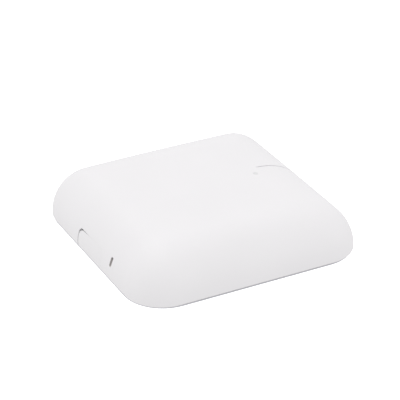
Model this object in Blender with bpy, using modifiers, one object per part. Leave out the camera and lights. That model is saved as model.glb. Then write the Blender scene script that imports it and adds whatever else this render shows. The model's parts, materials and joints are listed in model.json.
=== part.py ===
"""A square ceiling access point, modelled as the separate pieces that come apart on a bench.

The frame is +Z up, out of the ceiling, with the origin at the centre of the back face that lies on
the ceiling. The cable exit and the security lock slot are on the -X side, the status light is
towards +X. Sizes are written in millimetres and become metres in the helpers.
"""

import math

import bmesh
import bpy
from mathutils import Matrix, Vector

MM = 0.001

# ---- Driving dimensions, in millimetres ----
HALF = 80.0  # half the side of the square cover
HEIGHT = 35.0  # ceiling to the top of the dome
CORNER = 25.8  # corner radius of the cover's rim, in plan
RIM_Z = 1.2  # height of the cover's lower edge
LAND = 1.6  # short upright band above the rim
SHOULDER = 29.0  # how far in the rounded shoulder reaches
SHOULDER_POWER = 1.9  # 2 would make the shoulder a quarter ellipse
DOME = 2.4  # rise of the shallow dome that the whole top follows
SOFTEN = 3.6  # how early the corner radius levels off towards the middle
WALL = 2.2  # thickness of the moulded cover
GAP = 0.3  # clearance between pieces that touch

# Cable exit, lock slot, styling groove and status light, all on the cover
EXIT_HALF = 17.6
EXIT_TOP = 14.0
EXIT_CORNER = 3.6
LOCK_Y = -30.6
LOCK_Z = 12.6
LOCK_WIDE = 2.5
LOCK_TALL = 6.0
LOCK_SCREW_X = -67.5
GROOVE_START = (43.4, 2.4)
GROOVE_END = (72.0, -1.3)
GROOVE_RADIUS = 0.5
GROOVE_DEEP = 0.5
GROOVE_SHALLOW = 0.08
LIGHT_X = 38.1
LIGHT_Y = -5.1
LIGHT_RADIUS = 1.3

# Base casting
FLANGE_HALF = 79.6
FLANGE_CORNER = 27.4
FLANGE_TOP = RIM_Z - GAP
SKIRT_HALF = 77.2
SKIRT_CORNER = 23.5
SKIRT_TOP = 6.4
SKIRT_THICK = 2.2
FLOOR_TOP = 2.0
PLATEAU_TOP = 5.0
POCKET_LOW = (-58.0, -52.0)  # recess that takes the mounting bracket
POCKET_HIGH = (60.0, 52.0)
POCKET_TOP = 3.4
PLATEAU_WALL = 2.0
BOSS_AT = 56.0
BOSS_RADIUS = 4.5

# Cable bay behind the cable exit
BAY_OUTER_X = -76.0
BAY_LOW_X = -73.5
BAY_HIGH_X = -37.5
BAY_HALF_Y = 21.5
BAY_WALL = 3.0
BUTTON_Y = -18.0
BUTTON_Z = 12.9
POWER_Y = -8.5
POWER_Z = 15.4
SHROUD_WALL = 1.5
SHROUD_HALF_Y = 23.4
SHROUD_LOW_X = -74.5
SHROUD_HIGH_X = -36.0
SHROUD_TOP = 24.0

# Main board and what stands on it
BOARD_LOW = 8.0
BOARD_TOP = 9.6
BOARD_HALF = 68.0
BOARD_CORNER = 18.0
BOARD_HOLES = [(-63.0, -38.0), (-63.0, 38.0), (58.0, -38.0), (58.0, 38.0)]
ON_BOARD = BOARD_TOP + GAP
JACK_FACE_X = -38.2
CAN_WALL = 0.4

# Mounting bracket and its shouldered studs
SHEET = 1.2
BRACKET_LOW = (-56.0, -50.0)
BRACKET_HIGH = (48.0, 50.0)
BRACKET_TRAVEL = 10.0
STUD_X = 36.0
STUD_Y = 38.0
STUD_SHANK = 2.5
STUD_HEAD = 4.4

CORNER_STEPS = 8
SIDE_STEPS = 6
SHOULDER_STEPS = 11
DOME_STEPS = 4
ROUND = 24  # sides of a small round piece
LEAD_STEPS = 5  # points on a lead between the corners of its route


# ---- Scene, materials and collections ----
def clear_scene():
    for obj in list(bpy.data.objects):
        bpy.data.objects.remove(obj, do_unlink=True)


def new_collection(name):
    collection = bpy.data.collections.new(name)
    bpy.context.scene.collection.children.link(collection)
    return collection


def material(name, colour, roughness, metallic=0.0):
    made = bpy.data.materials.new(name)
    made.use_nodes = True
    shader = made.node_tree.nodes["Principled BSDF"]
    shader.inputs["Base Color"].default_value = (*colour, 1.0)
    shader.inputs["Roughness"].default_value = roughness
    shader.inputs["Metallic"].default_value = metallic
    return made


clear_scene()
PARTS = new_collection("ceiling_access_point")
CUTTERS = new_collection("cutters")

WHITE = material("cover_white", (0.88, 0.88, 0.89), 0.45)
CASTING = material("base_casting", (0.52, 0.52, 0.54), 0.5, 0.3)
BLACK = material("black_plastic", (0.03, 0.03, 0.035), 0.5)
SOLDER_MASK = material("board_green", (0.02, 0.16, 0.07), 0.4)
STEEL = material("zinc_steel", (0.62, 0.63, 0.65), 0.35, 1.0)
TIN = material("tin_plate", (0.75, 0.75, 0.73), 0.3, 1.0)
SCREW_STEEL = material("screw_steel", (0.5, 0.5, 0.52), 0.3, 1.0)
BRASS = material("antenna_brass", (0.72, 0.55, 0.28), 0.35, 1.0)
GOLD = material("contact_gold", (0.83, 0.62, 0.25), 0.25, 1.0)
COAX = material("coax_jacket", (0.05, 0.05, 0.05), 0.45)
PAD = material("thermal_pad", (0.35, 0.42, 0.5), 0.9)
CLEAR = material("light_pipe_clear", (0.85, 0.88, 0.9), 0.15)
LED = material("led_body", (0.9, 0.85, 0.6), 0.3)
PAPER = material("label_film", (0.8, 0.8, 0.8), 0.6)
FERRITE = material("ferrite", (0.09, 0.08, 0.08), 0.7)
ALUMINIUM = material("capacitor_can", (0.7, 0.7, 0.72), 0.35, 1.0)


# ---- Shape helpers: sizes come in as millimetres ----
def add_object(name, mesh, mat, collection=None):
    obj = bpy.data.objects.new(name, mesh)
    (collection or PARTS).objects.link(obj)
    if mat:
        mesh.materials.append(mat)
    return obj


def mesh_of(name, bm):
    mesh = bpy.data.meshes.new(name)
    bmesh.ops.recalc_face_normals(bm, faces=bm.faces)
    bm.to_mesh(mesh)
    bm.free()
    return mesh


def block(name, low, high, mat=None, corner=0.0, along="Z", steps=4, collection=None):
    """A box between two corners, with its edges that run along one axis rounded if asked."""
    low, high = Vector(low) * MM, Vector(high) * MM
    bm = bmesh.new()
    bmesh.ops.create_cube(bm, size=1.0)
    bmesh.ops.scale(bm, vec=high - low, verts=bm.verts)
    if corner:
        axis = "XYZ".index(along)
        edges = [e for e in bm.edges if abs((e.verts[0].co - e.verts[1].co)[axis]) > 1e-6]
        bmesh.ops.bevel(bm, geom=edges, offset=corner * MM, segments=steps, profile=0.5, affect="EDGES")
    obj = add_object(name, mesh_of(name, bm), mat, collection)
    obj.location = (low + high) / 2
    return obj


def rod(name, radius, start, end, mat=None, sides=ROUND, collection=None):
    """A cylinder between two points."""
    start, end = Vector(start) * MM, Vector(end) * MM
    bm = bmesh.new()
    bmesh.ops.create_cone(
        bm, cap_ends=True, segments=sides, radius1=radius * MM, radius2=radius * MM,
        depth=(end - start).length,
    )
    obj = add_object(name, mesh_of(name, bm), mat, collection)
    obj.rotation_mode = "QUATERNION"
    obj.rotation_quaternion = (end - start).to_track_quat("Z", "Y")
    obj.location = (start + end) / 2
    return obj


def turned(name, profile, at, mat, sides=ROUND, collection=None):
    """A turned piece about a line parallel to Z: its profile of (radius, z) runs from top to bottom."""
    mesh = bpy.data.meshes.new(name)
    points = [(radius * MM, 0.0, z * MM) for radius, z in profile]
    mesh.from_pydata(points, [(i, i + 1) for i in range(len(points) - 1)], [])
    obj = add_object(name, mesh, mat, collection)
    obj.location = (at[0] * MM, at[1] * MM, 0.0)
    turn = obj.modifiers.new("turn", "SCREW")
    turn.axis = "Z"
    turn.steps = turn.render_steps = sides
    turn.use_merge_vertices = True
    turn.merge_threshold = 0.00005
    return obj


def prism(name, outline, low, high, plane, mat=None, collection=None):
    """A flat outline swept along the axis that its plane leaves out: XZ along Y, XY along Z."""
    curve = bpy.data.curves.new(name, "CURVE")
    curve.dimensions = "2D"
    curve.fill_mode = "BOTH"
    curve.extrude = (high - low) / 2 * MM
    spline = curve.splines.new("POLY")
    spline.points.add(len(outline) - 1)
    for point, (u, v) in zip(spline.points, outline):
        point.co = (u * MM, v * MM, 0.0, 1.0)
    spline.use_cyclic_u = True
    guide = bpy.data.objects.new(name + "_outline", curve)
    PARTS.objects.link(guide)
    middle = (low + high) / 2 * MM
    if plane == "XZ":
        guide.matrix_world = Matrix.Translation((0, middle, 0)) @ Matrix.Rotation(math.pi / 2, 4, "X")
    else:
        guide.matrix_world = Matrix.Translation((0, 0, middle))
    mesh = evaluated_mesh(guide, name)
    mesh.shade_flat()
    obj = add_object(name, mesh, mat, collection)
    obj.matrix_world = guide.matrix_world
    bpy.data.objects.remove(guide, do_unlink=True)
    return obj


def combine(obj, operation, others):
    """Adds a Boolean for each helper, and sets the helpers aside with the cutters."""
    for other in others:
        for collection in list(other.users_collection):
            collection.objects.unlink(other)
        CUTTERS.objects.link(other)
        other.hide_render = True
        other.display_type = "WIRE"
        step = obj.modifiers.new(f"{operation.lower()}_{other.name}", "BOOLEAN")
        step.operation = operation
        step.object = other
    return obj


def cut(obj, *cutters):
    return combine(obj, "DIFFERENCE", cutters)


def join(obj, *pieces):
    return combine(obj, "UNION", pieces)


def smooth(obj, degrees=30.0):
    obj.data.shade_smooth()
    obj.data.set_sharp_from_angle(angle=math.radians(degrees))
    return obj


def tube(name, line, radius, mat):
    """A round tube with closed ends along a line of points."""
    curve = bpy.data.curves.new(name, "CURVE")
    curve.dimensions = "3D"
    curve.bevel_depth = radius * MM
    curve.bevel_resolution = 2
    curve.use_fill_caps = True
    spline = curve.splines.new("POLY")
    spline.points.add(len(line) - 1)
    for point, place in zip(spline.points, line):
        point.co = (*(place * MM), 1.0)
    obj = bpy.data.objects.new(name, curve)
    if mat:
        curve.materials.append(mat)
    PARTS.objects.link(obj)
    return obj


def evaluated_mesh(obj, name):
    """A welded mesh of a curve object, with its faces outward."""
    bpy.context.view_layer.update()
    mesh = bpy.data.meshes.new_from_object(obj.evaluated_get(bpy.context.evaluated_depsgraph_get()))
    bm = bmesh.new()
    bm.from_mesh(mesh)
    bmesh.ops.remove_doubles(bm, verts=bm.verts, dist=1e-6)
    bpy.data.meshes.remove(mesh)
    return mesh_of(name, bm)


def smooth_line(route, steps):
    """Catmull-Rom curve through the route's points."""
    points = [Vector(p) for p in route]
    padded = [2 * points[0] - points[1], *points, 2 * points[-1] - points[-2]]
    line = []
    for a, b, c, d in zip(padded, padded[1:], padded[2:], padded[3:]):
        for step in range(steps):
            t = step / steps
            line.append(
                0.5 * ((2 * b) + (c - a) * t + (2 * a - 5 * b + 4 * c - d) * t * t
                       + (3 * b - a - 3 * c + d) * t ** 3)
            )
    return [*line, points[-1]]


# ---- The cover's surface ----
def corner_radius(inset):
    """Plan corner radius of the level line that lies this far inside the rim."""
    shrunk = CORNER - inset
    soft = (shrunk + math.hypot(shrunk, 2 * SOFTEN)) / 2
    full = (CORNER + math.hypot(CORNER, 2 * SOFTEN)) / 2
    return min(soft * CORNER / full, HALF - inset)


def shoulder_z(inset):
    """Height of the rounded shoulder, this far inside the rim."""
    shoulder_base = RIM_Z + LAND
    shoulder_tall = HEIGHT - DOME - shoulder_base
    to_go = max(0.0, 1 - inset / SHOULDER)
    return shoulder_base + shoulder_tall * (1 - to_go ** SHOULDER_POWER) ** (1 / SHOULDER_POWER)


def dome_z(x, y):
    """Height that the shallow dome adds, full in the middle and none at the four sides."""
    return DOME * (1 - (x / HALF) ** 2) * (1 - (y / HALF) ** 2)


def surface_z(x, y):
    """Height of the cover's outside on the +X half, near the middle of that side."""
    return shoulder_z(HALF - x) + dome_z(x, y)


def level_line(inset):
    """The rounded square that lies this far inside the rim, as a ring of (x, y) points."""
    radius = corner_radius(inset)
    centre = HALF - inset - radius
    arcs = []
    for corner, (sx, sy) in enumerate([(1, 1), (-1, 1), (-1, -1), (1, -1)]):
        middle = Vector((sx * centre, sy * centre))
        angles = [(corner + step / CORNER_STEPS) * math.pi / 2 for step in range(CORNER_STEPS + 1)]
        arcs.append([middle + radius * Vector((math.cos(a), math.sin(a))) for a in angles])
    ring = []
    for arc, following in zip(arcs, arcs[1:] + arcs[:1]):
        ring += arc
        ring += [arc[-1].lerp(following[0], step / SIDE_STEPS) for step in range(1, SIDE_STEPS)]
    return ring


def cover_rings():
    """Rings of points from the rim up to the middle of the dome."""
    rings = [[(x, y, RIM_Z) for x, y in level_line(0.0)]]
    turns = [step / SHOULDER_STEPS * math.pi / 2 for step in range(SHOULDER_STEPS)]
    steep = [SHOULDER * (1 - math.cos(turn)) for turn in turns]
    flat = [SHOULDER + (HALF - SHOULDER) * step / DOME_STEPS for step in range(DOME_STEPS)]
    for inset in steep + flat:
        rings.append([(x, y, shoulder_z(inset) + dome_z(x, y)) for x, y in level_line(inset)])
    return rings


def cover_skin(name, drop=0.0, floor=None):
    """The cover's outside as a loft of level lines, moved in and down by drop. A floor closes it."""
    bm = bmesh.new()
    scale = (HALF - drop) / HALF
    rings = []
    for ring in cover_rings():
        rings.append([bm.verts.new(Vector((x * scale, y * scale, z - drop)) * MM) for x, y, z in ring])
    if floor is not None:
        rings.insert(0, [bm.verts.new((v.co.x, v.co.y, floor * MM)) for v in rings[0]])
        bm.faces.new(reversed(rings[0]))
    for lower, upper in zip(rings, rings[1:]):
        for i in range(len(lower)):
            j = (i + 1) % len(lower)
            bm.faces.new((lower[i], lower[j], upper[j], upper[i]))
    top = bm.verts.new((0, 0, (HEIGHT - drop) * MM))
    for i in range(len(rings[-1])):
        bm.faces.new((rings[-1][i], rings[-1][(i + 1) % len(rings[-1])], top))
    return mesh_of(name, bm)


def shell_object(name):
    obj = add_object(name, cover_skin(name), WHITE)
    thicken = obj.modifiers.new("wall", "SOLIDIFY")
    thicken.thickness = WALL * MM
    thicken.offset = -1.0
    thicken.use_even_offset = True
    return obj


def exit_prism(name, clearance):
    """The cable exit's outline, an upside-down U, as a block through the -X wall."""
    return block(
        name, (-90, -EXIT_HALF + clearance, -10), (-70, EXIT_HALF - clearance, EXIT_TOP - clearance),
        corner=EXIT_CORNER - clearance, along="X", steps=5,
    )


def groove_cutter():
    """A thin tube along the surface that sinks less and less as it runs out over the +X shoulder."""
    steps = 16
    line = []
    for step in range(steps + 1):
        share = step / steps
        x = GROOVE_START[0] + (GROOVE_END[0] - GROOVE_START[0]) * share
        bend = (1 - math.cos(math.pi * min(1.0, share * 1.3))) / 2
        y = GROOVE_START[1] + (GROOVE_END[1] - GROOVE_START[1]) * bend
        fall = (surface_z(x - 0.1, y) - surface_z(x + 0.1, y)) / 0.2
        outward = Vector((fall, 0.0, 1.0)).normalized()
        depth = GROOVE_DEEP + (GROOVE_SHALLOW - GROOVE_DEEP) * share
        line.append(Vector((x, y, surface_z(x, y))) + outward * (GROOVE_RADIUS - depth))
    guide = tube("groove_guide", line, GROOVE_RADIUS, None)
    cutter = add_object("groove_cutter", evaluated_mesh(guide, "groove_cutter"), None)
    bpy.data.objects.remove(guide, do_unlink=True)
    return cutter


def boss_places():
    return [(sx * BOSS_AT, sy * BOSS_AT) for sx in (-1, 1) for sy in (-1, 1)]


def build_cover():
    cover = shell_object("top_cover")
    for number, (x, y) in enumerate(boss_places(), 1):
        boss = rod(f"cover_boss_{number}", 3.6, (x, y, PLATEAU_TOP + GAP), (x, y, HEIGHT + 1))
        trim = add_object(f"boss_trim_{number}", cover_skin(f"boss_trim_{number}", 1.0, -2.0), None)
        join(cover, combine(boss, "INTERSECT", [trim]))
        cut(cover, rod(f"boss_pilot_{number}", 1.7, (x, y, 0), (x, y, 16), sides=12))
    cut(
        cover,
        exit_prism("exit_cutter", 0.0),
        block(
            "lock_cutter", (-90, LOCK_Y - LOCK_WIDE / 2, LOCK_Z - LOCK_TALL / 2),
            (-70, LOCK_Y + LOCK_WIDE / 2, LOCK_Z + LOCK_TALL / 2), corner=0.5, along="X", steps=2,
        ),
        rod("light_cutter", LIGHT_RADIUS + GAP, (LIGHT_X, LIGHT_Y, 25), (LIGHT_X, LIGHT_Y, 40)),
        groove_cutter(),
    )
    return smooth(cover)


def build_knockout():
    """The tab that closes the cable exit: a piece of the same wall, with two stiffening ribs inside."""
    tab = shell_object("cable_knockout")
    combine(tab, "INTERSECT", [exit_prism("knockout_outline", GAP)])
    for side in (-1, 1):
        y = side * 10.0
        join(tab, block(f"knockout_rib_{side}", (-78.2, y - 0.7, 3.2), (-75.0, y + 0.7, 10.6)))
    return smooth(tab)


# ---- Base casting ----
def build_base():
    base = block(
        "base_chassis", (-FLANGE_HALF, -FLANGE_HALF, 0), (FLANGE_HALF, FLANGE_HALF, FLANGE_TOP),
        CASTING, corner=FLANGE_CORNER, steps=16,
    )
    skirt = block(
        "base_skirt", (-SKIRT_HALF, -SKIRT_HALF, 0.2), (SKIRT_HALF, SKIRT_HALF, SKIRT_TOP),
        corner=SKIRT_CORNER, steps=10,
    )
    inside = SKIRT_HALF - SKIRT_THICK
    join(base, skirt)
    cut(base, block("base_inside", (-inside, -inside, FLOOR_TOP), (inside, inside, 20),
                    corner=SKIRT_CORNER - SKIRT_THICK, steps=10))
    raised_low = (POCKET_LOW[0] - PLATEAU_WALL, POCKET_LOW[1] - PLATEAU_WALL, 0.4)
    raised_high = (POCKET_HIGH[0] + PLATEAU_WALL, POCKET_HIGH[1] + PLATEAU_WALL, PLATEAU_TOP)
    collar_y = BAY_HALF_Y + BAY_WALL
    join(base, block("plateau", raised_low, raised_high, corner=5.0))
    join(base, *[rod(f"base_boss_{i}", BOSS_RADIUS, (x, y, 0.3), (x, y, PLATEAU_TOP))
                 for i, (x, y) in enumerate(boss_places(), 1)])
    join(base, *[rod(f"standoff_{i}", 3.2, (x, y, 1.0), (x, y, BOARD_LOW - GAP), sides=16)
                 for i, (x, y) in enumerate(BOARD_HOLES, 1)])
    cut(base, block("bracket_pocket", (*POCKET_LOW, -5), (*POCKET_HIGH, POCKET_TOP), corner=4.0))
    collar_high = (BAY_HIGH_X + 2.5, collar_y, PLATEAU_TOP)
    join(base, block("bay_collar", (BAY_OUTER_X, -collar_y, 0.1), collar_high))
    cut(
        base,
        block("bay_hole", (BAY_LOW_X, -BAY_HALF_Y, -5), (BAY_HIGH_X, BAY_HALF_Y, 12), corner=1.5, steps=3),
        block("exit_channel", (-90, -EXIT_HALF - GAP, FLANGE_TOP), (BAY_LOW_X + 3, EXIT_HALF + GAP, 12)),
        block("label_recess", (-29, 59, -5), (29, 75, 0.8), corner=1.5, steps=2),
        rod("lock_screw_hole", 1.5, (LOCK_SCREW_X, LOCK_Y, 0.5), (LOCK_SCREW_X, LOCK_Y, 5), sides=12),
    )
    for i, (x, y) in enumerate(boss_places(), 1):
        cut(base, rod(f"cover_screw_hole_{i}", 1.7, (x, y, -5), (x, y, 12), sides=12))
        cut(base, rod(f"counterbore_{i}", 3.2, (x, y, -5), (x, y, 2.9)))
    for i, (x, y) in enumerate(BOARD_HOLES, 1):
        cut(base, rod(f"board_screw_hole_{i}", 1.4, (x, y, 3.8), (x, y, 12), sides=12))
    for i, (x, y) in enumerate(stud_places(), 1):
        cut(base, rod(f"stud_hole_{i}", 2.1, (x, y, 2), (x, y, 12), sides=16))
    for i in range(-4, 5):
        x = i * 9.0
        cut(base, block(f"vent_front_{i + 5}", (x - 1.5, -71, -5), (x + 1.5, -60, 5), corner=1.4, steps=2))
        cut(base, block(f"vent_side_{i + 5}", (65, x - 1.5, -5), (73, x + 1.5, 5), corner=1.4, steps=2))
    return base


def build_shroud():
    """The moulded hood over the cable bay, open below and towards the cable exit."""
    roof = SHROUD_TOP - SHROUD_WALL
    outer = [(SHROUD_LOW_X, 5.3), (SHROUD_HIGH_X, 5.3), (SHROUD_HIGH_X, SHROUD_TOP),
             (-66.0, SHROUD_TOP), (SHROUD_LOW_X, 13.8)]
    inner = [(-80.0, -2.0), (SHROUD_HIGH_X - SHROUD_WALL, -2.0), (SHROUD_HIGH_X - SHROUD_WALL, roof),
             (-65.3, roof), (-73.3, 12.9), (-80.0, 12.9)]
    shroud = prism("port_bay_shroud", outer, -SHROUD_HALF_Y, SHROUD_HALF_Y, "XZ", BLACK)
    inner_y = SHROUD_HALF_Y - SHROUD_WALL
    cut(
        shroud,
        prism("shroud_inside", inner, -inner_y, inner_y, "XZ"),
        block("jack_window", (-45, 0.6, 9.5), (-30, 17.4, 22.6)),
        block("power_window", (-45, -13.4, 9.5), (-30, -3.6, 21.3)),
        rod("button_window", 2.0, (-45, BUTTON_Y, BUTTON_Z), (-30, BUTTON_Y, BUTTON_Z), sides=16),
    )
    return shroud


# ---- Main board and its components ----
def build_board():
    board = block(
        "main_board", (-BOARD_HALF, -BOARD_HALF, BOARD_LOW), (BOARD_HALF, BOARD_HALF, BOARD_TOP),
        SOLDER_MASK, corner=BOARD_CORNER, steps=5,
    )
    notch_y = SHROUD_HALF_Y + 0.4
    cut(board, block("board_notch", (-90, -notch_y, 0), (SHROUD_HIGH_X + 0.4, notch_y, 20)))
    for i, (x, y) in enumerate(boss_places(), 1):
        cut(board, rod(f"board_corner_{i}", 4.6, (x, y, 0), (x, y, 20), sides=16))
    for i, (x, y) in enumerate(BOARD_HOLES, 1):
        cut(board, rod(f"board_hole_{i}", 1.5, (x, y, 0), (x, y, 20), sides=12))
    return board


def build_ethernet_jack():
    """Tin shield, black insert with the plug's cavity, and a comb of eight sprung contacts."""
    y_low, y_high, top = 1.0, 17.0, 22.2
    middle = (y_low + y_high) / 2
    shield = block("ethernet_jack_shield", (JACK_FACE_X, y_low, ON_BOARD), (-17.2, y_high, top), TIN)
    cut(shield, block("jack_shield_inside", (-50, y_low + 0.5, 5), (-17.7, y_high - 0.5, top - 0.5)))
    insert = block(
        "ethernet_jack_insert", (-37.9, y_low + 0.9, ON_BOARD + 0.2), (-18.1, y_high - 0.9, 21.4), BLACK,
    )
    cut(
        insert,
        block("plug_cavity", (-50, middle - 5.95, 13.4), (-24, middle + 5.95, 20.2)),
        block("latch_notch", (-50, middle - 3.1, 10.9), (-26, middle + 3.1, 14)),
    )
    contacts = block("ethernet_contacts", (-25.2, middle - 4.2, 18.6), (-24.4, middle + 4.2, 19.9), GOLD)
    for number in range(8):
        y = middle + (number - 3.5) * 1.02
        outline = [(-24.8, 19.1), (-24.8, 18.7), (-33.0, 18.7), (-35.5, 19.3), (-35.5, 19.7), (-32.8, 19.1)]
        join(contacts, prism(f"contact_{number + 1}", outline, y - 0.22, y + 0.22, "XZ"))


def build_power_jack():
    """Barrel socket: a black body with a round mouth, and the metal pin in its middle."""
    y, z = POWER_Y, POWER_Z
    body = block("dc_power_jack", (JACK_FACE_X, y - 4.5, ON_BOARD), (-24.2, y + 4.5, 20.9), BLACK)
    cut(
        body,
        rod("barrel_hole", 3.1, (-50, y, z), (-28, y, z)),
        rod("pin_hole", 1.3, (-40, y, z), (-20, y, z), sides=16),
    )
    pin = rod("dc_jack_pin", 1.0, (-37.0, y, z), (-25, y, z), TIN, sides=16)
    cut(pin, rod("pin_bore", 0.4, (-40, y, z), (-33, y, z), sides=8))


def build_reset_switch():
    y, z = BUTTON_Y, BUTTON_Z
    body = block("reset_switch", (-35.6, y - 3, ON_BOARD), (-30.6, y + 3, 15.9), BLACK)
    cut(body, rod("plunger_bore", 2.0, (-40, y, z), (-33.6, y, z), sides=16))
    rod("reset_button", 1.6, (-39.0, y, z), (-35.0, y, z), WHITE, sides=20)


def chip(name, centre, size, mat, corner=0.0):
    """A component that stands on the board."""
    x, y = centre
    wide, deep, tall = size
    return block(
        name, (x - wide / 2, y - deep / 2, ON_BOARD), (x + wide / 2, y + deep / 2, ON_BOARD + tall),
        mat, corner=corner, steps=2,
    )


def can(name, centre, size):
    """A pressed shield can, open towards the board."""
    x, y = centre
    wide, deep, tall = size
    made = chip(name, centre, size, TIN, corner=1.0)
    return cut(made, block(
        name + "_inside", (x - wide / 2 + CAN_WALL, y - deep / 2 + CAN_WALL, 0),
        (x + wide / 2 - CAN_WALL, y + deep / 2 - CAN_WALL, ON_BOARD + tall - CAN_WALL),
    ))


def build_components():
    can("shield_can_memory", (8, 0), (34, 30, 3.2))
    can("shield_can_2g_radio", (20, 34), (26, 20, 2.8))
    can("shield_can_5g_radio", (20, -34), (26, 20, 2.8))
    chip("memory_chip", (2, 0), (12, 9, 1.1), BLACK)
    chip("radio_chip_2g", (20, 34), (9, 9, 0.9), BLACK)
    chip("radio_chip_5g", (20, -34), (9, 9, 0.9), BLACK)
    chip("flash_chip", (36, 12), (8, 6, 1.2), BLACK)
    chip("ethernet_magnetics", (-25, 30), (15, 12, 6.0), BLACK)
    chip("poe_transformer", (-20, -34), (18, 17, 12.0), FERRITE, 1.5)
    chip("power_inductor", (-38, -36), (10, 10, 5.0), FERRITE, 1.5)
    chip("status_led", (LIGHT_X, LIGHT_Y), (3.2, 2.8, 1.1), LED)
    for number, (x, y) in enumerate([(-44, 30), (-44, 41)], 1):
        rod(f"bulk_capacitor_{number}", 4.0, (x, y, ON_BOARD), (x, y, ON_BOARD + 10.5), ALUMINIUM)
    block("processor_chip", (-1, -9, 6.7), (17, 9, BOARD_LOW - GAP), BLACK)
    block("processor_thermal_pad", (0, -8, PLATEAU_TOP + GAP), (16, 8, 6.4), PAD)


def build_light_pipe():
    """A clear pipe from the status LED to the cover, with a collar that stops it under the cover's wall."""
    top = surface_z(LIGHT_X, LIGHT_Y) - 0.1
    collar_top, collar_low, foot = top - 2.8, top - 3.8, 11.3
    profile = [(0, top), (LIGHT_RADIUS, top), (LIGHT_RADIUS, collar_top), (2.6, collar_top),
               (2.6, collar_low), (LIGHT_RADIUS, collar_low), (LIGHT_RADIUS, foot), (0, foot)]
    smooth(turned("status_light_pipe", profile, (LIGHT_X, LIGHT_Y), CLEAR, sides=20))


# ---- Antennas and their coaxial leads ----
def build_antenna(name, x, side, length, height, width):
    """A stamped plate on two legs that stands at the board's +Y or -Y edge; its feed leg points inwards."""
    y = side * 56.0
    top = ON_BOARD + height
    toward = -1 if x > 0 else 1
    far, near = x - toward * length / 2, x + toward * length / 2
    sheet = 0.5
    y_low, y_high = y - width / 2, y + width / 2
    plate = block(name, (x - length / 2, y_low, top - sheet), (x + length / 2, y_high, top), BRASS)
    leg_low, leg_high = sorted((far, far + toward * sheet))
    foot_low, foot_high = sorted((far, far + toward * 4.0))
    feed_low, feed_high = sorted((near, near - toward * sheet))
    foot_top = ON_BOARD + sheet
    quarter = length / 4
    join(
        plate,
        block(name + "_leg", (leg_low, y_low, ON_BOARD), (leg_high, y_high, top - 0.2)),
        block(name + "_foot", (foot_low, y_low + 0.5, ON_BOARD), (foot_high, y_high - 0.5, foot_top)),
        block(name + "_feed", (feed_low, y - 1.2, ON_BOARD + 1.5), (feed_high, y + 1.2, top - 0.2)),
    )
    cut(plate, block(name + "_slot", (x - quarter, y - 0.8, top - 3), (x + quarter, y + 0.8, top + 3)))
    return (near - toward * sheet / 2, y)


def build_antennas():
    """Two antennas to each radio, and the lead from each feed leg to its plug beside the shield can."""
    plans = [
        ("antenna_2g_1", -32, 1, 30, 11.0, 9.0),
        ("antenna_2g_2", 32, 1, 30, 11.0, 9.0),
        ("antenna_5g_1", -32, -1, 18, 7.0, 8.0),
        ("antenna_5g_2", 32, -1, 18, 7.0, 8.0),
    ]
    plug_x, plug_radius, lead_radius = 3.5, 1.5, 0.6
    lead_z = ON_BOARD + GAP + lead_radius
    clear = plug_radius + GAP
    for number, (name, x, side, length, height, width) in enumerate(plans, 1):
        feed_x, feed_y = build_antenna(name, x, side, length, height, width)
        if x < 0:
            plug_y = side * 30.0
            lane = [(feed_x + 3, side * 48.5), (-6, side * 42), (-3, side * 34), (plug_x - clear, plug_y)]
        else:
            plug_y = side * 38.0
            lane = [(feed_x - 5, side * 48.3), (8, side * 46.3), (plug_x, side * 43),
                    (plug_x, plug_y + side * clear)]
        foot = Vector((plug_x, plug_y, ON_BOARD))
        rod(f"coax_plug_{number}", plug_radius, foot, foot + Vector((0, 0, 2.2)), BRASS, sides=16)
        route = [(feed_x, feed_y - side * 1.5, ON_BOARD + 2.4), *((*place, lead_z) for place in lane)]
        tube(f"antenna_lead_{number}", smooth_line(route, LEAD_STEPS), lead_radius, COAX)


# ---- Lock anchor, bracket, studs, screws and label ----
def build_lock_anchor():
    """An angle of steel behind the lock slot, screwed to the base."""
    y_low, y_high = LOCK_Y - 3.7, LOCK_Y + 3.7
    slot_half_y, slot_half_z = LOCK_WIDE / 2 + 0.2, LOCK_TALL / 2 + 0.1
    anchor = block("lock_anchor", (-73.2, y_low, 2.3), (-72.0, y_high, LOCK_Z + slot_half_z + 0.9), STEEL)
    join(anchor, block("anchor_foot", (-73.2, y_low, 2.3), (-62.5, y_high, 3.5)))
    cut(
        anchor,
        block(
            "anchor_slot", (-80, LOCK_Y - slot_half_y, LOCK_Z - slot_half_z),
            (-70, LOCK_Y + slot_half_y, LOCK_Z + slot_half_z),
        ),
        rod("anchor_hole", 1.5, (LOCK_SCREW_X, LOCK_Y, 0), (LOCK_SCREW_X, LOCK_Y, 10), sides=12),
    )
    profile = [(0, 5.4), (2.4, 5.4), (2.4, 3.8), (1.2, 3.8), (1.2, 0.8), (0, 0.8)]
    smooth(turned("lock_anchor_screw", profile, (LOCK_SCREW_X, LOCK_Y), SCREW_STEEL, sides=16))


def stud_places():
    return [(sx * STUD_X, sy * STUD_Y) for sx in (-1, 1) for sy in (-1, 1)]


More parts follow.
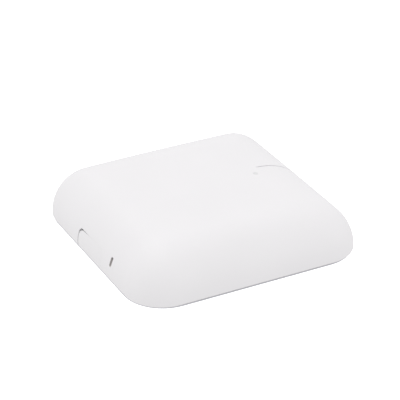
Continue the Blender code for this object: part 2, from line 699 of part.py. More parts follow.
def build_bracket():
    """The ceiling plate: it lies on the ceiling, and its four raised pads hook over the base's studs."""
    plate = block("mounting_bracket", (*BRACKET_LOW, 0), (*BRACKET_HIGH, SHEET), STEEL, corner=8.0)
    pad_top = 3.1
    for i, (x, y) in enumerate(stud_places(), 1):
        low = (x - BRACKET_TRAVEL - 7.5, y - 8.5)
        high = (x + 6.5, y + 8.5)
        join(plate, block(f"pad_{i}", (*low, 0.05), (*high, pad_top), corner=3.0, steps=3))
        cut(plate, block(
            f"pad_inside_{i}", (low[0] + SHEET, low[1] + SHEET, -5),
            (high[0] - SHEET, high[1] - SHEET, pad_top - SHEET), corner=1.8, steps=3,
        ))
        open_x = x - BRACKET_TRAVEL
        half_slot = STUD_SHANK + GAP
        cut(plate, rod(f"keyhole_{i}", STUD_HEAD + 0.7, (open_x, y, -5), (open_x, y, 8)))
        cut(plate, block(
            f"keyslot_{i}", (open_x, y - half_slot, -5), (x + half_slot, y + half_slot, 8), corner=2.7,
        ))
    notch_y = BAY_HALF_Y + BAY_WALL + 1.0
    cut(plate, block("bay_notch", (-90, -notch_y, -5), (-26, notch_y, 8), corner=4.0))
    for i, y in enumerate((-41.65, -30.0, 30.0, 41.65), 1):
        cut(plate, block(f"screw_slot_{i}", (-11, y - 2.2, -5), (3, y + 2.2, 8), corner=2.1))
    for i, side in enumerate((-1, 1), 1):
        cut(plate, block(f"tongue_slit_{i}", (18, side * 6 - 0.8, -5), (42, side * 6 + 0.8, 8)))
    cut(plate, block("tongue_end", (40.4, -6.8, -5), (42, 6.8, 8)))
    join(plate, turned("tongue_dimple", [(0, 2.6), (1.2, 2.4), (2.0, 1.9), (2.6, 1.0), (0, 1.0)],
                       (36, 0), None, sides=16))
    return plate


def build_studs():
    profile = [(0, 4.8), (1.8, 4.8), (1.8, POCKET_TOP - GAP), (STUD_SHANK, POCKET_TOP - GAP),
               (STUD_SHANK, 1.5), (STUD_HEAD, 1.5), (STUD_HEAD, 0.9), (STUD_HEAD - 0.6, 0.4), (0, 0.4)]
    for i, place in enumerate(stud_places(), 1):
        smooth(turned(f"mount_stud_{i}", profile, place, SCREW_STEEL, sides=20))


def cross_cutter(name, place, low, high, span, width):
    """The two blades of a cross recess."""
    x, y = place
    long = block(name + "_a", (x - span / 2, y - width / 2, low), (x + span / 2, y + width / 2, high))
    short = block(name + "_b", (x - width / 2, y - span / 2, low), (x + width / 2, y + span / 2, high))
    return long, short


def build_screws():
    cover_profile = [(0, 14.0), (1.4, 14.0), (1.4, 2.6), (2.8, 2.6), (2.8, 1.2), (2.4, 0.7), (0, 0.7)]
    board_profile = [(0, 11.4), (1.8, 11.4), (2.4, 10.9), (2.4, ON_BOARD), (1.1, ON_BOARD),
                     (1.1, 4.4), (0, 4.4)]
    for i, place in enumerate(boss_places(), 1):
        screw = turned(f"cover_screw_{i}", cover_profile, place, SCREW_STEEL, sides=20)
        smooth(cut(screw, *cross_cutter(f"cover_drive_{i}", place, -2.0, 1.8, 3.2, 0.7)))
    for i, place in enumerate(BOARD_HOLES, 1):
        screw = turned(f"board_screw_{i}", board_profile, place, SCREW_STEEL, sides=20)
        smooth(cut(screw, *cross_cutter(f"board_drive_{i}", place, 10.5, 14.0, 2.6, 0.6)))


def build_label():
    block("rating_label", (-28, 60, 0.15), (28, 74, 0.45), PAPER, corner=1.0, steps=2)


build_cover()
build_knockout()
build_base()
build_shroud()
build_board()
build_ethernet_jack()
build_power_jack()
build_reset_switch()
build_components()
build_light_pipe()
build_antennas()
build_lock_anchor()
build_bracket()
build_studs()
build_screws()
build_label()
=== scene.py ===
"""The looks of a ceiling access point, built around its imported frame.

The frame is +Z up, out of the ceiling, with the origin in the middle of the face that lies on the
ceiling. Sizes are written in millimetres, and the helpers make metres of them.
"""

import json
import math

import bmesh
import bpy
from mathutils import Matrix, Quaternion, Vector


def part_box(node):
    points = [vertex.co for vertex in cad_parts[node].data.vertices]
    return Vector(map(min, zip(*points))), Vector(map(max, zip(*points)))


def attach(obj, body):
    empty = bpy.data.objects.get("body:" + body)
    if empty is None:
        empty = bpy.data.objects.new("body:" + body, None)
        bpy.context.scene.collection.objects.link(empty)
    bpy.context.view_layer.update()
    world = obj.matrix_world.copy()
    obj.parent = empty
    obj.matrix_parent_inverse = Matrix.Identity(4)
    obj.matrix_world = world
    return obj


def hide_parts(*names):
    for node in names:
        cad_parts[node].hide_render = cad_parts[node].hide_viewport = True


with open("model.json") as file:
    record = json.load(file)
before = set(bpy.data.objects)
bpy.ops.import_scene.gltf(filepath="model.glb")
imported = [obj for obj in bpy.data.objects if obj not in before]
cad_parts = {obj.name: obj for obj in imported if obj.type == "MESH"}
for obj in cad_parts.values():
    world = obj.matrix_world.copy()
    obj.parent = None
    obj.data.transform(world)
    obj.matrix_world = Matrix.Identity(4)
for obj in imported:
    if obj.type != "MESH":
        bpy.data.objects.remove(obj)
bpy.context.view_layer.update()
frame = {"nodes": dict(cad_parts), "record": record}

MM = 0.001
CLOSE = 0.000001  # metres: points nearer than this are one


def box_mm(node):
    """A node's lowest and highest corners, in millimetres."""
    return [Vector(round(value / MM, 3) for value in corner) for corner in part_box(node)]


# ---- Driving dimensions, in millimetres ----
COVER_LOW, COVER_HIGH = box_mm("top_cover")
HALF = COVER_HIGH.x
HEIGHT = COVER_HIGH.z
RIM_Z = COVER_LOW.z
CORNER = 25.8  # corner radius of the rim, in plan
LAND = 1.6  # short upright band above the rim
SHOULDER = 29.0  # how far in the rounded shoulder reaches
SHOULDER_POWER = 1.9
DOME = 2.4  # rise of the shallow dome over the whole top
SOFTEN = 3.6  # how early the corner radius levels off towards the middle
WALL = 2.2
RIM_ROUND = 0.4  # rounding of the rim's outer edge
BEYOND, WITHIN = -90.0, -70.0  # x outside and inside the -X wall, where its cutters start and end

EXIT_HALF = 17.6  # the cable exit, which the tab fills
EXIT_TOP = 14.0
EXIT_CORNER = 3.6
TAB_GAP_SIDE = 0.7  # width of the slit round the tab, beside it and above it at its +Y corner
TAB_GAP_TOP = 0.6
TAB_GAP_TIGHT = 0.05  # and everywhere else
TAB_CORNER = 5.0  # its +Y upper corner
TAB_BEND_Y = 4.0  # where the slit above the tab becomes tight
RIB_Y = 10.0  # the tab's two ribs lie this far to each side
RIB_THICK = 1.4
LOCK_Y = -30.6
LOCK_Z = 12.6
LOCK_WIDE = 2.5
LOCK_TALL = 6.0
LOCK_CORNER = 0.5
GROOVE_START = (42.7, 2.5)
GROOVE_END = (72.0, -1.3)
GROOVE_HALF = 0.42  # half its width
GROOVE_DEEP = 0.7  # depth at its start
GROOVE_SHALLOW = 0.22  # and at its end
LIGHT_X = 38.1
LIGHT_Y = -5.1
LIGHT_HOLE = 1.6
LIGHT_RADIUS = 1.52
LIGHT_STEM = 1.3
LIGHT_COLLAR = 2.6
LIGHT_PROUD = 0.2  # how far the pipe's end stands above its CAD shape
LIGHT_RISE = 0.12  # height of its dome
BOSS_AT = 56.0  # the screw posts' distance from the middle, along X and Y
BOSS_RADIUS = 3.6
BOSS_FOOT = 5.3
BOSS_BORE = 1.7
EDGE_ROUND = 0.12  # rounding of the carried-over nodes' edges
SHARP = math.radians(35)  # edges sharper than this stay edges

CORNER_STEPS = 20
SIDE_STEPS = 20
SHOULDER_STEPS = 34
DOME_STEPS = 12
ROUND = 48


# ---- Materials ----
class Finish:
    """A Principled material whose nodes are added one call at a time, with places in object space."""

    def __init__(self, name, colour, roughness, metallic=0.0, **sockets):
        self.material = bpy.data.materials.new(name)
        self.material.use_nodes = True
        self.tree = self.material.node_tree
        self.shader = self.tree.nodes["Principled BSDF"]
        self.colour = colour
        self.roughness = roughness
        self.set("Base Color", (*colour, 1.0))
        self.set("Roughness", roughness)
        self.set("Metallic", metallic)
        for socket, value in sockets.items():
            self.set(socket.replace("_", " ").title(), value)
        self.place = self.tree.nodes.new("ShaderNodeTexCoord").outputs["Object"]

    def set(self, socket, value):
        self.shader.inputs[socket].default_value = value

    def node(self, kind, links=(), **settings):
        """A node with its settings, numbered or named inputs given as links or values."""
        made = self.tree.nodes.new("ShaderNode" + kind)
        for key, value in settings.items():
            setattr(made, key, value)
        for socket, value in dict(links).items():
            if isinstance(value, bpy.types.NodeSocket):
                self.tree.links.new(value, made.inputs[socket])
            else:
                made.inputs[socket].default_value = value
        return made

    def stretched(self, scale):
        """Object places with each axis scaled on its own."""
        return self.node("Mapping", {"Vector": self.place, "Scale": scale}).outputs["Vector"]

    def noise(self, scale, detail=3.0, stretch=None):
        vector = self.stretched(stretch) if stretch else self.place
        return self.node("TexNoise", {"Vector": vector, "Scale": scale, "Detail": detail}).outputs["Fac"]

    def cells(self, scale, output="Color", feature="F1"):
        links = {"Vector": self.place, "Scale": scale}
        return self.node("TexVoronoi", links, feature=feature).outputs[output]

    def ramp(self, factor, stops):
        """Turns a factor into colours at places between 0 and 1."""
        made = self.node("ValToRGB", {"Fac": factor})
        elements = made.color_ramp.elements
        while len(elements) < len(stops):
            elements.new(0.5)
        for element, (at, colour) in zip(elements, stops):
            element.position = at
            element.color = (*colour, 1.0)
        return made.outputs["Color"]

    def between(self, factor, low, high):
        """Turns a factor from 0.25..0.75 into a number between low and high."""
        links = {"Value": factor, "From Min": 0.25, "From Max": 0.75, "To Min": low, "To Max": high}
        return self.node("MapRange", links).outputs["Result"]

    def tint(self, factor, change, low=0.3, high=0.7):
        """Base colour that goes a little darker and lighter with a factor."""
        darker = [c * (1 - change) for c in self.colour]
        lighter = [min(1.0, c * (1 + change)) for c in self.colour]
        self.link(self.ramp(factor, [(low, darker), (high, lighter)]), "Base Color")
        return self

    def rough(self, factor, spread):
        self.link(self.between(factor, self.roughness - spread, self.roughness + spread), "Roughness")
        return self

    def bump(self, height, depth, strength=1.0):
        """Relief of this depth in millimetres. A second call adds to the first."""
        links = {"Height": height, "Distance": depth * MM, "Strength": strength}
        earlier = self.shader.inputs["Normal"].links
        if earlier:
            links["Normal"] = earlier[0].from_socket
        self.link(self.node("Bump", links).outputs["Normal"], "Normal")
        return self

    def link(self, output, socket):
        self.tree.links.new(output, self.shader.inputs[socket])


def moulded(name, colour, roughness, grain=0.006, grain_scale=2600.0, **sockets):
    """Moulded plastic: a fine spark-eroded grain, and slow changes of tone and gloss."""
    made = Finish(name, colour, roughness, **sockets)
    made.tint(made.noise(22.0, 2.0), 0.008)
    made.rough(made.noise(60.0, 4.0), 0.035)
    made.bump(made.noise(grain_scale, 2.0), grain)
    return made.material


def cast(name, colour, roughness, metallic):
    """Painted die casting: orange-peel relief with finer specks."""
    made = Finish(name, colour, roughness, metallic)
    made.tint(made.noise(140.0, 5.0), 0.06)
    made.rough(made.noise(400.0, 4.0), 0.07)
    made.bump(made.noise(700.0, 3.0), 0.03)
    made.bump(made.noise(2600.0, 2.0), 0.012)
    return made.material


def rolled(name, colour, roughness, stretch=(18.0, 420.0, 420.0), change=0.07):
    """Sheet metal with the long fine lines of the rolling mill."""
    made = Finish(name, colour, roughness, 1.0)
    lines = made.noise(6.0, 6.0, stretch=stretch)
    made.tint(lines, change)
    made.rough(lines, 0.08)
    made.bump(lines, 0.004)
    return made.material


def galvanised(name, colour, roughness):
    """Zinc-coated steel: crystal spangles over a fine speckled relief."""
    made = Finish(name, colour, roughness, 1.0)
    spangle = made.cells(160.0)
    grey = made.node("RGBToBW", {"Color": spangle}).outputs["Val"]
    made.tint(grey, 0.055)
    made.rough(grey, 0.06)
    made.bump(made.noise(1500.0, 3.0), 0.006)
    return made.material


def machined(name, colour, roughness):
    """Turned and plated metal with faint specks."""
    made = Finish(name, colour, roughness, 1.0)
    specks = made.noise(1800.0, 4.0)
    made.tint(specks, 0.08)
    made.rough(specks, 0.06)
    made.bump(specks, 0.004)
    return made.material


def solder_mask(name):
    """Green lacquer over copper: the copper's islands and tracks show as a lighter green."""
    made = Finish(name, (0.02, 0.17, 0.075), 0.32, coat_weight=0.25, coat_roughness=0.2)
    islands = made.cells(150.0, "Distance", "DISTANCE_TO_EDGE")
    tracks = made.node(
        "TexBrick",
        {
            "Vector": made.place, "Scale": 120.0, "Mortar Size": 0.035, "Mortar Smooth": 0.2,
            "Color1": (0, 0, 0, 1), "Color2": (0, 0, 0, 1), "Mortar": (1, 1, 1, 1),
        },
    ).outputs["Color"]
    edge = made.between(islands, 0.0, 0.4)
    both = made.node("Math", {0: tracks, 1: edge}, operation="MAXIMUM").outputs["Value"]
    made.link(made.ramp(both, [(0.1, (0.012, 0.12, 0.05)), (0.6, (0.03, 0.22, 0.1))]), "Base Color")
    made.rough(made.noise(300.0, 3.0), 0.05)
    made.bump(both, 0.03)
    return made.material


MATERIALS = {
    "cover_white": moulded("cover_white", (0.74, 0.728, 0.741), 0.5),
    "cover_inside": moulded("cover_inside", (0.7, 0.695, 0.705), 0.4, grain=0.003),
    # The lock slot's walls are the cover's own plastic, made darker and browner here: painted shade inside
    # the slot.
    "slot_painted_shade": moulded("slot_painted_shade", (0.6, 0.57, 0.56), 0.5),
    # The groove's walls are the cover's own plastic, made grey here: painted shade inside the groove.
    "groove_painted_shade": moulded("groove_painted_shade", (0.6, 0.59, 0.61), 0.7),
    "base_casting": cast("base_casting", (0.5, 0.5, 0.53), 0.5, 0.15),
    "black_plastic": moulded("black_plastic", (0.022, 0.022, 0.025), 0.48, grain=0.01, grain_scale=1500.0),
    "board_green": solder_mask("board_green"),
    "zinc_steel": galvanised("zinc_steel", (0.6, 0.61, 0.63), 0.4),
    "tin_plate": rolled("tin_plate", (0.72, 0.72, 0.7), 0.4),
    "screw_steel": machined("screw_steel", (0.5, 0.5, 0.52), 0.4),
    "antenna_brass": rolled("antenna_brass", (0.7, 0.53, 0.27), 0.33, (420.0, 18.0, 420.0)),
    "contact_gold": machined("contact_gold", (0.83, 0.62, 0.25), 0.3),
    "coax_jacket": moulded("coax_jacket", (0.03, 0.03, 0.032), 0.42, grain=0.008),
    "thermal_pad": moulded("thermal_pad", (0.33, 0.4, 0.48), 0.85, grain=0.03, grain_scale=900.0),
    "light_pipe_clear": moulded(
        "light_pipe_clear", (0.65, 0.65, 0.655), 0.4, grain=0.001, coat_weight=0.2, coat_roughness=0.15,
    ),
    "led_body": moulded("led_body", (0.86, 0.8, 0.55), 0.3, grain=0.004),
    "label_film": moulded("label_film", (0.78, 0.78, 0.77), 0.55, grain=0.004, grain_scale=3000.0),
    "ferrite": cast("ferrite", (0.075, 0.07, 0.07), 0.65, 0.0),
    "capacitor_can": rolled("capacitor_can", (0.68, 0.68, 0.7), 0.3, (420.0, 420.0, 18.0)),
}


# ---- Mesh helpers ----
def link(name, mesh, *slots):
    for slot in slots:
        mesh.materials.append(MATERIALS[slot])
    made = bpy.data.objects.new(name, mesh)
    bpy.context.scene.collection.objects.link(made)
    return made


def mesh_of(name, bm, recalc=True):
    if recalc:
        bmesh.ops.recalc_face_normals(bm, faces=bm.faces)
    mesh = bpy.data.meshes.new(name)
    bm.to_mesh(mesh)
    bm.free()
    return mesh


def settle(obj):
    """Makes an object's modifiers part of its mesh."""
    bpy.context.view_layer.update()
    graph = bpy.context.evaluated_depsgraph_get()
    mesh = bpy.data.meshes.new_from_object(obj.evaluated_get(graph))
    obj.modifiers.clear()
    obj.data = mesh


def combine(obj, operation, other):
    """One Boolean, made part of the mesh. The other object's faces keep their own material."""
    step = obj.modifiers.new(operation, "BOOLEAN")
    step.operation = operation
    step.object = other
    step.material_mode = "TRANSFER"
    settle(obj)
    bpy.data.objects.remove(other, do_unlink=True)
    return obj


def clean(obj):
    """Joins the nearly equal points that Booleans leave, so no face is without area."""
    bm = bmesh.new()
    bm.from_mesh(obj.data)
    bmesh.ops.remove_doubles(bm, verts=bm.verts, dist=CLOSE)
    bmesh.ops.dissolve_degenerate(bm, dist=CLOSE, edges=bm.edges)
    bm.to_mesh(obj.data)
    bm.free()


def add_block(bm, low, high, round_along, corner, segments=4):
    """A box in a mesh, with its edges along one axis rounded."""
    low, high = Vector(low) * MM, Vector(high) * MM
    verts = bmesh.ops.create_cube(bm, size=1.0)["verts"]
    bmesh.ops.scale(bm, vec=high - low, verts=verts)
    bmesh.ops.translate(bm, vec=(low + high) / 2, verts=verts)
    edges = {e for v in verts for e in v.link_edges}
    axis = "XYZ".index(round_along)
    chosen = [e for e in edges if abs((e.verts[0].co - e.verts[1].co)[axis]) > CLOSE]
    bmesh.ops.bevel(
        bm, geom=chosen, offset=corner * MM, segments=segments, profile=0.5, affect="EDGES",
        clamp_overlap=True,
    )


def add_outline(bm, outline, low, high, plane):
    """A flat outline swept along the axis that its plane leaves out."""
    to_3d = {"YZ": lambda u, v, w: (w, u, v), "XZ": lambda u, v, w: (u, w, v)}[plane]
    near = [bm.verts.new(Vector(to_3d(u, v, low)) * MM) for u, v in outline]
    far = [bm.verts.new(Vector(to_3d(u, v, high)) * MM) for u, v in outline]
    bm.faces.new(near)
    bm.faces.new(far)
    for i in range(len(near)):
        j = (i + 1) % len(near)
        bm.faces.new((near[i], near[j], far[j], far[i]))


def add_turned(bm, profile, at, sides=ROUND):
    """A turned solid about a line parallel to Z: its profile of (radius, z) starts and ends on the axis."""
    rings = []
    for radius, z in profile:
        angles = [2 * math.pi * i / sides for i in range(sides)] if radius else [0.0]
        rings.append([
            bm.verts.new(Vector((at[0] + radius * math.cos(a), at[1] + radius * math.sin(a), z)) * MM)
            for a in angles
        ])
    for upper, lower in zip(rings, rings[1:]):
        for i in range(sides):
            j = (i + 1) % sides
            above = [upper[k % len(upper)] for k in (i, j)]
            below = [lower[k % len(lower)] for k in (j, i)]
            bm.faces.new(list(dict.fromkeys(above + below)))


def arc(centre, radius, start, end, steps):
    """Points on an arc, with its angles in degrees."""
    angles = [math.radians(start + (end - start) * i / steps) for i in range(steps + 1)]
    return [(centre[0] + radius * math.cos(a), centre[1] + radius * math.sin(a)) for a in angles]


# ---- The cover's surface ----
def corner_radius(inset):
    """Plan corner radius of the level line that lies this far inside the rim."""
    shrunk = CORNER - inset
    soft = (shrunk + math.hypot(shrunk, 2 * SOFTEN)) / 2
    full = (CORNER + math.hypot(CORNER, 2 * SOFTEN)) / 2
    return min(soft * CORNER / full, HALF - inset)


def shoulder_z(inset):
    """Height of the rounded shoulder, this far inside the rim."""
    base = RIM_Z + LAND
    to_go = max(0.0, 1 - inset / SHOULDER)
    return base + (HEIGHT - DOME - base) * (1 - to_go ** SHOULDER_POWER) ** (1 / SHOULDER_POWER)


def shoulder_slope(inset):
    """How steeply the shoulder rises there: very steep at the rim, level once it is past."""
    to_go = max(0.0, 1 - inset / SHOULDER)
    rest = max(1e-9, 1 - to_go ** SHOULDER_POWER)
    tall = HEIGHT - DOME - RIM_Z - LAND
    return tall / SHOULDER * to_go ** (SHOULDER_POWER - 1) * rest ** (1 / SHOULDER_POWER - 1)


def dome_z(x, y):
    return DOME * (1 - (x / HALF) ** 2) * (1 - (y / HALF) ** 2)


def inset_of(x, y):
    """How far inside the rim the level line through this place lies, found by halving."""
    x, y = abs(x), abs(y)
    low, high = 0.0, HALF
    for _ in range(36):
        middle = (low + high) / 2
        radius = corner_radius(middle)
        centre = HALF - middle - radius
        if x > centre and y > centre:
            outside = math.hypot(x - centre, y - centre) > radius
        else:
            outside = max(x, y) > HALF - middle
        if outside:
            high = middle
        else:
            low = middle
    return low


def inward(x, y, inset):
    """Direction in plan in which the inset grows, with the growth per millimetre as its length."""
    radius = corner_radius(inset)
    centre = HALF - inset - radius
    sx, sy = math.copysign(1.0, x), math.copysign(1.0, y)
    u, v = abs(x) - centre, abs(y) - centre
    if u <= 0 or v <= 0:
        return Vector((-sx, 0.0)) if abs(x) > abs(y) else Vector((0.0, -sy))
    step = 1e-4
    turn = (corner_radius(inset + step) - radius) / step
    growth = (u + v) * (-1 - turn) + radius * turn
    return Vector((sx * u, sy * v)) / growth


def skin_normal(x, y, inset):
    slope = shoulder_slope(inset)
    growing = inward(x, y, inset)
    dome_x = -2 * DOME * x / HALF ** 2 * (1 - (y / HALF) ** 2)
    dome_y = -2 * DOME * y / HALF ** 2 * (1 - (x / HALF) ** 2)
    return Vector((-slope * growing.x - dome_x, -slope * growing.y - dome_y, 1.0)).normalized()


def level_line(inset):
    """The rounded square that lies this far inside the rim, as a ring of places."""
    radius = corner_radius(inset)
    centre = HALF - inset - radius
    corners = [arc((sx * centre, sy * centre), radius, 90 * i, 90 * i + 90, CORNER_STEPS)
               for i, (sx, sy) in enumerate([(1, 1), (-1, 1), (-1, -1), (1, -1)])]
    ring = []
    for here, following in zip(corners, corners[1:] + corners[:1]):
        ring += here
        start, end = Vector(here[-1]), Vector(following[0])
        ring += [tuple(start.lerp(end, i / SIDE_STEPS)) for i in range(1, SIDE_STEPS)]
    return ring


def skin_insets():
    """Insets of the level lines, close together where the shoulder is steep."""
    steep = [SHOULDER * (1 - math.cos(i / SHOULDER_STEPS * math.pi / 2)) for i in range(SHOULDER_STEPS)]
    flat = [SHOULDER + (HALF - SHOULDER) * i / DOME_STEPS for i in range(DOME_STEPS)]
    return steep + flat


def skin_rings(depth=0.0):
    """Rings of points on the skin, or this deep under it, from the land to the middle."""
    rings = []
    for inset in skin_insets():
        ring = []
        for x, y in level_line(inset):
            place = Vector((x, y, shoulder_z(inset) + dome_z(x, y)))
            ring.append(place - skin_normal(x, y, inset) * depth)
        rings.append(ring)
    return rings


def bridge(bm, rings, material_index=0):
    for lower, upper in zip(rings, rings[1:]):
        for i in range(len(lower)):
            j = (i + 1) % len(lower)
            face = bm.faces.new((lower[i], lower[j], upper[j], upper[i]))
            face.material_index = material_index


def crown(bm, ring, z, material_index=0):
    """Closes the innermost ring with a fan."""
    middle = bm.verts.new((0.0, 0.0, z * MM))
    for i in range(len(ring)):
        face = bm.faces.new((ring[i], ring[(i + 1) % len(ring)], middle))
        face.material_index = material_index


def rim_rings(depth, steps=4):
    """The rim below the land: outside it is rounded under, inside it drops straight."""
    if depth:
        upper = skin_rings(depth)[0]
        return [[Vector((p.x, p.y, RIM_Z)) for p in upper]]
    rings = []
    for i in range(steps + 1):
        angle = math.pi / 2 * (1 - i / steps)
        z = RIM_Z + RIM_ROUND * (1 - math.sin(angle))
        rings.append([Vector((x, y, z)) for x, y in level_line(RIM_ROUND * (1 - math.cos(angle)))])
    return rings


def wall_shell(name):
    """The whole moulding without its openings: outer skin, rounded rim and inner skin."""
    bm = bmesh.new()

    def verts(rings):
        return [[bm.verts.new(p * MM) for p in ring] for ring in rings]

    outer = verts(rim_rings(0.0) + skin_rings())
    inner = verts(rim_rings(WALL) + skin_rings(WALL))
    bridge(bm, outer)
    crown(bm, outer[-1], HEIGHT)
    bridge(bm, [inner[0], outer[0]], 1)
    bridge(bm, inner, 1)
    crown(bm, inner[-1], HEIGHT - WALL, 1)
    return link(name, mesh_of(name, bm), "cover_white", "cover_inside")


def give_skin_normals(obj):
    """Sets the exact normals of the skin on its faces, and smooths the others where they meet gently."""
    mesh = obj.data
    mesh.shade_smooth()
    mesh.set_sharp_from_angle(angle=SHARP)
    normals = [Vector(corner.vector) for corner in mesh.corner_normals]
    exact = {}
    skin = mesh.materials.find("cover_white")
    for face in mesh.polygons:
        if face.material_index != skin:
            continue
        for loop in face.loop_indices:
            vertex = mesh.loops[loop].vertex_index
            if vertex not in exact:
                x, y, z = mesh.vertices[vertex].co / MM
                if z < RIM_Z + LAND:
                    way = -inward(x, y, 0.0).normalized()
                    drop = min(1.0, max(0.0, (RIM_Z + RIM_ROUND - z) / RIM_ROUND))
                    exact[vertex] = Vector((*(way * math.sqrt(1 - drop * drop)), -drop))
                else:
                    exact[vertex] = skin_normal(x, y, inset_of(x, y))
            normals[loop] = exact[vertex]
    mesh.normals_split_custom_set(normals)


# ---- Cover, knock-out tab and light pipe ----
def groove_line():
    """Places along the groove, with its depth into the skin and half its width, fine at both ends."""
    steps = 36
    for step in range(steps + 1):
        share = step / steps
        x = GROOVE_START[0] + (GROOVE_END[0] - GROOVE_START[0]) * share
        bend = (1 - math.cos(math.pi * min(1.0, share * 1.3))) / 2
        y = GROOVE_START[1] + (GROOVE_END[1] - GROOVE_START[1]) * bend
        inset = inset_of(x, y)
        depth = GROOVE_DEEP + (GROOVE_SHALLOW - GROOVE_DEEP) * share
        fine = min(1.0, 0.35 + 9.0 * share, 0.2 + 4.0 * (1.0 - share))
        place = Vector((x, y, shoulder_z(inset) + dome_z(x, y)))
        yield place, skin_normal(x, y, inset) * depth * fine, GROOVE_HALF * fine


def groove_cutter():
    sides = 16
    bm = bmesh.new()
    rings = []
    for place, deep, half in groove_line():
        across = Vector((0.0, half, 0.0))
        rings.append([
            bm.verts.new((place + across * math.cos(a) + deep * math.sin(a)) * MM)
            for a in [2 * math.pi * i / sides for i in range(sides)]
        ])
    bridge(bm, rings)
    bm.faces.new(rings[0])
    bm.faces.new(rings[-1])
    # The cutter's faces become the groove's walls, in the grey material of painted shade.
    return link("groove_cutter", mesh_of("groove_cutter", bm), "groove_painted_shade")


def boss_places():
    return [(sx * BOSS_AT, sy * BOSS_AT) for sx in (-1, 1) for sy in (-1, 1)]


def bosses():
    """The four screw posts, trimmed to end inside the cover's wall."""
    chamfer = 0.3
    profile = [
        (0, HEIGHT), (BOSS_RADIUS, HEIGHT), (BOSS_RADIUS, BOSS_FOOT + chamfer),
        (BOSS_RADIUS - chamfer, BOSS_FOOT), (0, BOSS_FOOT),
    ]
    bm = bmesh.new()
    for place in boss_places():
        add_turned(bm, profile, place)
    posts = link("posts", mesh_of("posts", bm), "cover_inside")
    bm = bmesh.new()
    rings = skin_rings(WALL / 2)
    rings.insert(0, [Vector((p.x, p.y, 0.0)) for p in rings[0]])
    rings = [[bm.verts.new(p * MM) for p in ring] for ring in rings]
    bridge(bm, rings)
    crown(bm, rings[-1], HEIGHT - WALL / 2)
    bm.faces.new(reversed(rings[0]))
    return combine(posts, "INTERSECT", link("trim", mesh_of("trim", bm), "cover_inside"))


def build_cover():
    cover = wall_shell("cover_shell")
    combine(cover, "UNION", bosses())
    bm = bmesh.new()
    add_block(bm, (BEYOND, -EXIT_HALF, -10), (WITHIN, EXIT_HALF, EXIT_TOP), "X", EXIT_CORNER, segments=10)
    add_turned(bm, [(0, 40), (LIGHT_HOLE, 40), (LIGHT_HOLE, 25), (0, 25)], (LIGHT_X, LIGHT_Y))
    for place in boss_places():
        add_turned(bm, [(0, 16), (BOSS_BORE, 15), (BOSS_BORE, 0), (0, 0)], place, 24)
    combine(cover, "DIFFERENCE", link("openings", mesh_of("openings", bm), "cover_inside"))
    bm = bmesh.new()
    add_block(
        bm, (BEYOND, LOCK_Y - LOCK_WIDE / 2, LOCK_Z - LOCK_TALL / 2),
        (WITHIN, LOCK_Y + LOCK_WIDE / 2, LOCK_Z + LOCK_TALL / 2), "X", LOCK_CORNER,
    )
    # The slot's walls take the darker, browner material: painted shade inside the slot.
    combine(cover, "DIFFERENCE", link("lock_slot", mesh_of("lock_slot", bm), "slot_painted_shade"))
    combine(cover, "DIFFERENCE", groove_cutter())
    clean(cover)
    give_skin_normals(cover)
    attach(cover, "housing")
    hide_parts("top_cover")


def tab_outline():
    """The tab fills the exit with a gap that is widest at one upper corner and closes towards the other."""
    bottom = -8.0  # below the rim, where the wall ends anyway
    turned = 84  # degrees of the corner, which leave the top sloping up to the bend
    left = EXIT_HALF - TAB_GAP_SIDE
    right = -EXIT_HALF + TAB_GAP_TIGHT
    top = EXIT_TOP - TAB_GAP_TIGHT
    centre = (left - TAB_CORNER, EXIT_TOP - TAB_GAP_TOP - TAB_CORNER)
    sloping = arc(centre, TAB_CORNER, 0, turned, 10)
    other = arc((right + EXIT_CORNER, top - EXIT_CORNER), EXIT_CORNER, 90, 180, 10)
    return [(left, bottom), *sloping, (TAB_BEND_Y, top), *other, (right, bottom)]


def build_tab():
    tab = wall_shell("exit_tab")
    bm = bmesh.new()
    add_outline(bm, tab_outline(), BEYOND, WITHIN, "YZ")
    combine(tab, "INTERSECT", link("tab_outline", mesh_of("tab_outline", bm), "cover_inside"))
    rib = [(-78.2, 3.2), (-75.0, 3.2), (-75.0, 9.4), (-76.2, 10.6), (-78.2, 10.6)]
    bm = bmesh.new()
    for y in (-RIB_Y, RIB_Y):
        add_outline(bm, rib, y - RIB_THICK / 2, y + RIB_THICK / 2, "XZ")
    combine(tab, "UNION", link("tab_ribs", mesh_of("tab_ribs", bm), "cover_inside"))
    clean(tab)
    give_skin_normals(tab)
    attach(tab, "knockout")
    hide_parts("cable_knockout")


def build_light_pipe():
    """A milky pipe with a shallow domed end in the cover's hole, and a collar under the wall."""
    low, high = box_mm("status_light_pipe")
    top = high.z + LIGHT_PROUD
    collar_top, collar_foot, chamfer = top - 2.8, top - 3.8, 0.1
    domed = [(LIGHT_RADIUS * math.sin(a), top - LIGHT_RISE * (1 - math.cos(a)))
             for a in [math.radians(9 * i) for i in range(1, 10)]]
    profile = [
        (0, top), *domed, (LIGHT_RADIUS, collar_top), (LIGHT_COLLAR - chamfer, collar_top),
        (LIGHT_COLLAR, collar_top - chamfer), (LIGHT_COLLAR, collar_foot + chamfer),
        (LIGHT_COLLAR - chamfer, collar_foot), (LIGHT_STEM, collar_foot), (LIGHT_STEM, low.z + 0.2),
        (LIGHT_STEM - 0.2, low.z), (0, low.z),
    ]
    bm = bmesh.new()
    add_turned(bm, profile, (LIGHT_X, LIGHT_Y))
    pipe = link("light_pipe", mesh_of("light_pipe", bm), "light_pipe_clear")
    pipe.data.shade_smooth()
    pipe.data.set_sharp_from_angle(angle=SHARP)
    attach(pipe, "housing")
    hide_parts("status_light_pipe")


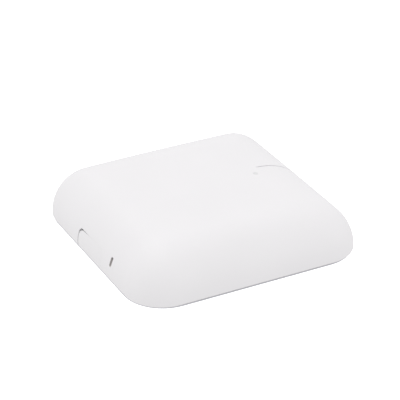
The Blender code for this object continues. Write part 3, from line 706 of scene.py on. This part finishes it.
# ---- The carried-over nodes ----
def dress_nodes():
    """Gives each carried-over node its material, and small rounded edges that catch the light."""
    slots = {part["node"]: part["material_slot"] for part in frame["record"]["subparts"]}
    for name, obj in frame["nodes"].items():
        if obj.hide_render:
            continue
        obj.data.materials.clear()
        obj.data.materials.append(MATERIALS[slots[name]])
        obj.data.polygons.foreach_set("material_index", [0] * len(obj.data.polygons))
        obj.data.shade_smooth()
        weld = obj.modifiers.new("weld", "WELD")
        weld.merge_threshold = 2 * CLOSE
        flat = obj.modifiers.new("flat", "DECIMATE")
        flat.decimate_type = "DISSOLVE"
        flat.angle_limit = math.radians(0.5)
        edges = obj.modifiers.new("edges", "BEVEL")
        edges.width = EDGE_ROUND * MM
        edges.segments = 2
        edges.limit_method = "ANGLE"
        edges.angle_limit = SHARP
        again = obj.modifiers.new("again", "WELD")
        again.merge_threshold = CLOSE
        normals = obj.modifiers.new("normals", "WEIGHTED_NORMAL")
        normals.mode = "FACE_AREA"
        normals.weight = 100


# ---- Stage: lights in metres, camera and floor height in millimetres ----
WORLD = 0.94
LIGHT_SIZE = 1.2
LIGHTS = [  # name, place and power
    ("above", (0.0, 0.0, 1.6), 2.0),
    ("above_back", (0.0, 0.9, 1.3), 3.0),
    ("above_left", (-0.9, 0.0, 1.3), 1.5),
    ("left", (-1.5, 0.0, 0.12), 1.5),
    ("front_right", (1.1, -1.1, 0.6), 3.0),
]
CAMERA_PLACE = (-474.0, -936.0, 595.0)
CAMERA_AIM = (4.2, 8.4, 16.8)  # close to the object's middle
CAMERA_ROLL = -0.57  # degrees
FLOOR_Z = -0.3  # just under the object, so their faces don't coincide
CAMERA_LENS = 165.4


def build_floor():
    bm = bmesh.new()
    bmesh.ops.create_grid(bm, x_segments=1, y_segments=1, size=6.0)
    floor = bpy.data.objects.new("floor", mesh_of("floor", bm, recalc=False))
    bpy.context.scene.collection.objects.link(floor)
    floor.location.z = FLOOR_Z * MM
    paint = bpy.data.materials.new("floor_white")
    paint.use_nodes = True
    tree = paint.node_tree
    shader = tree.nodes["Principled BSDF"]
    shader.inputs["Base Color"].default_value = (0.95, 0.95, 0.95, 1.0)
    shader.inputs["Roughness"].default_value = 0.9
    shader.inputs["Specular IOR Level"].default_value = 0.0
    shader.inputs["Emission Color"].default_value = (1.0, 1.0, 1.0, 1.0)
    shader.inputs["Emission Strength"].default_value = 0.9
    clear = tree.nodes.new("ShaderNodeBsdfTransparent")
    side = tree.nodes.new("ShaderNodeNewGeometry")
    mix = tree.nodes.new("ShaderNodeMixShader")
    tree.links.new(side.outputs["Backfacing"], mix.inputs["Fac"])
    tree.links.new(shader.outputs["BSDF"], mix.inputs[1])
    tree.links.new(clear.outputs["BSDF"], mix.inputs[2])
    tree.links.new(mix.outputs["Shader"], tree.nodes["Material Output"].inputs["Surface"])
    floor.data.materials.append(paint)
    floor.visible_diffuse = False
    floor.visible_glossy = False
    floor.visible_shadow = False


def area_light(name, place, size, power):
    data = bpy.data.lights.new(name, "AREA")
    data.shape = "DISK"
    data.size = size
    data.energy = power
    light = bpy.data.objects.new(name, data)
    bpy.context.scene.collection.objects.link(light)
    light.location = place
    light.rotation_mode = "QUATERNION"
    light.rotation_quaternion = Vector(place).to_track_quat("Z", "Y")


def build_lights():
    world = bpy.data.worlds.new("studio")
    bpy.context.scene.world = world
    world.use_nodes = True
    background = world.node_tree.nodes["Background"]
    background.inputs["Color"].default_value = (1.0, 1.0, 1.0, 1.0)
    background.inputs["Strength"].default_value = WORLD
    for name, place, power in LIGHTS:
        area_light(name, place, LIGHT_SIZE, power)


def build_camera():
    """A long lens, as a product is photographed."""
    data = bpy.data.cameras.new("camera")
    data.lens = CAMERA_LENS
    data.sensor_width = 36.0
    data.clip_start = 0.05
    data.clip_end = 50.0
    camera = bpy.data.objects.new("camera", data)
    bpy.context.scene.collection.objects.link(camera)
    place, aim = Vector(CAMERA_PLACE) * MM, Vector(CAMERA_AIM) * MM
    roll = Quaternion((0.0, 0.0, 1.0), math.radians(CAMERA_ROLL))
    camera.location = place
    camera.rotation_mode = "QUATERNION"
    camera.rotation_quaternion = (place - aim).to_track_quat("Z", "Y") @ roll
    bpy.context.scene.camera = camera


build_camera()
build_cover()
build_tab()
build_light_pipe()
dress_nodes()
build_floor()
build_lights()
bpy.context.scene.view_settings.view_transform = "Standard"
